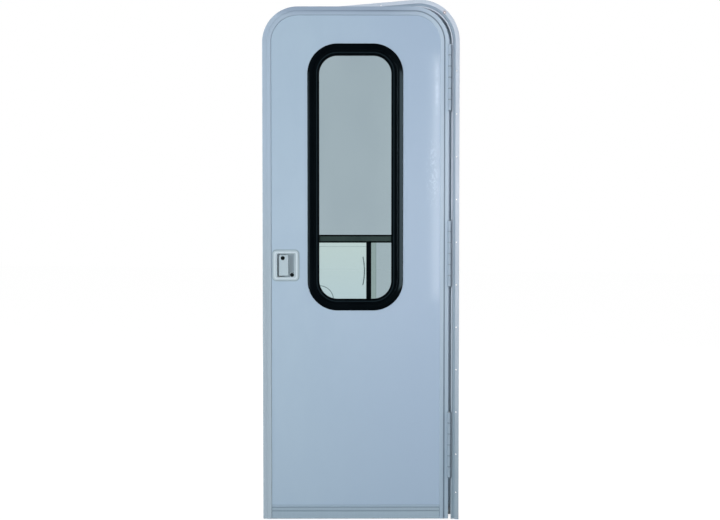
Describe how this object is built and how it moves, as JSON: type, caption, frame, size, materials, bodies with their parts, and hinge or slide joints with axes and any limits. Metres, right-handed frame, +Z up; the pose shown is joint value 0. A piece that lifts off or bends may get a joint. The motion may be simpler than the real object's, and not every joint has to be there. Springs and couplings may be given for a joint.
{
  "type": "caravan entry door",
  "caption": "Radius-topped caravan entry door with a tall rounded window, a recessed paddle lock and three long hinges, ajar in its flanged wall frame.",
  "frame": {"origin": "on the back of the hinge jamb's flange, on its screw line, level with the top of the sill", "axes": "+X to the hinge side seen from outside, +Y into the caravan, +Z up"},
  "size_m": [0.7355, 0.2959, 1.8705],
  "materials": {
    "frame_paint": "satin paint",
    "sill_metal": "mill finish",
    "seal_rubber": "matt grey",
    "plate_steel": "brushed",
    "hinge_paint": "satin paint",
    "pin_steel": "plain",
    "outer_skin": "gloss glass-fibre skin",
    "inner_skin": "satin",
    "core_foam": "foam",
    "trim_paint": "satin paint",
    "ring_black": "satin black",
    "transom_dark": "satin dark",
    "garnish_white": "satin white",
    "tinted_glass": "lightly tinted",
    "clear_glass": "clear",
    "pull_grey": "satin",
    "lock_paint": "satin paint",
    "key_steel": "dark",
    "inner_lock_black": "satin black"
  },
  "bodies": {
    "frame": {"hinge_jamb": "frame_paint", "latch_jamb": "frame_paint", "frame_head": "frame_paint", "sill": "sill_metal", "frame_seal": "seal_rubber", "strike_plate": "plate_steel", "hinge_pins": "pin_steel", "hinge_frame_leaf_bottom": "hinge_paint", "hinge_frame_leaf_middle": "hinge_paint", "hinge_frame_leaf_top": "hinge_paint"},
    "door": {"latch_faceplate": "plate_steel", "lock_bolts": "plate_steel", "hinge_door_leaf_bottom": "hinge_paint", "hinge_door_leaf_middle": "hinge_paint", "hinge_door_leaf_top": "hinge_paint", "paddle_pin": "pin_steel", "outer_skin": "outer_skin", "inner_skin": "inner_skin", "core_above_window": "core_foam", "core_below_window": "core_foam", "core_hinge_side": "core_foam", "core_latch_side": "core_foam", "edge_trim_latch": "trim_paint", "edge_trim_head": "trim_paint", "edge_trim_hinge": "trim_paint", "bottom_rail": "trim_paint", "window_ring": "ring_black", "sash_rail": "ring_black", "transom_bar": "transom_dark", "window_garnish": "garnish_white", "upper_glass": "tinted_glass", "fixed_lower_glass": "tinted_glass", "slider_glass": "clear_glass", "slider_pull": "pull_grey", "lock_bezel": "lock_paint", "inner_lock_plate": "inner_lock_black", "inner_lever": "inner_lock_black", "inner_thumb_turn": "inner_lock_black"},
    "paddle": {"paddle": "lock_paint"},
    "paddle_key": {"paddle_key_plug": "key_steel"},
    "deadbolt_key": {"deadbolt_key_plug": "key_steel"}
  },
  "joints": [
    {"name": "door_swing", "type": "hinge", "parent": "frame", "child": "door", "pos_m": [-0.023, -0.0125, 0.9], "axis": [0, 0, 1], "range_deg": [-18, 157]},
    {"name": "paddle_pull", "type": "hinge", "parent": "door", "child": "paddle", "pos_m": [-0.60313, -0.1868, 0.8723], "axis": [0, 0, -1], "range_deg": [0, 25], "stiffness_Nm_per_rad": 0.5},
    {"name": "paddle_key_turn", "type": "hinge", "parent": "paddle", "child": "paddle_key", "pos_m": [-0.59338, -0.18574, 0.8983], "axis": [0.309, -0.9511, 0], "range_deg": [0, 90]},
    {"name": "deadbolt_key_turn", "type": "hinge", "parent": "door", "child": "deadbolt_key", "pos_m": [-0.56171, -0.17545, 0.8383], "axis": [0.309, -0.9511, 0], "range_deg": [0, 90]}
  ]
}
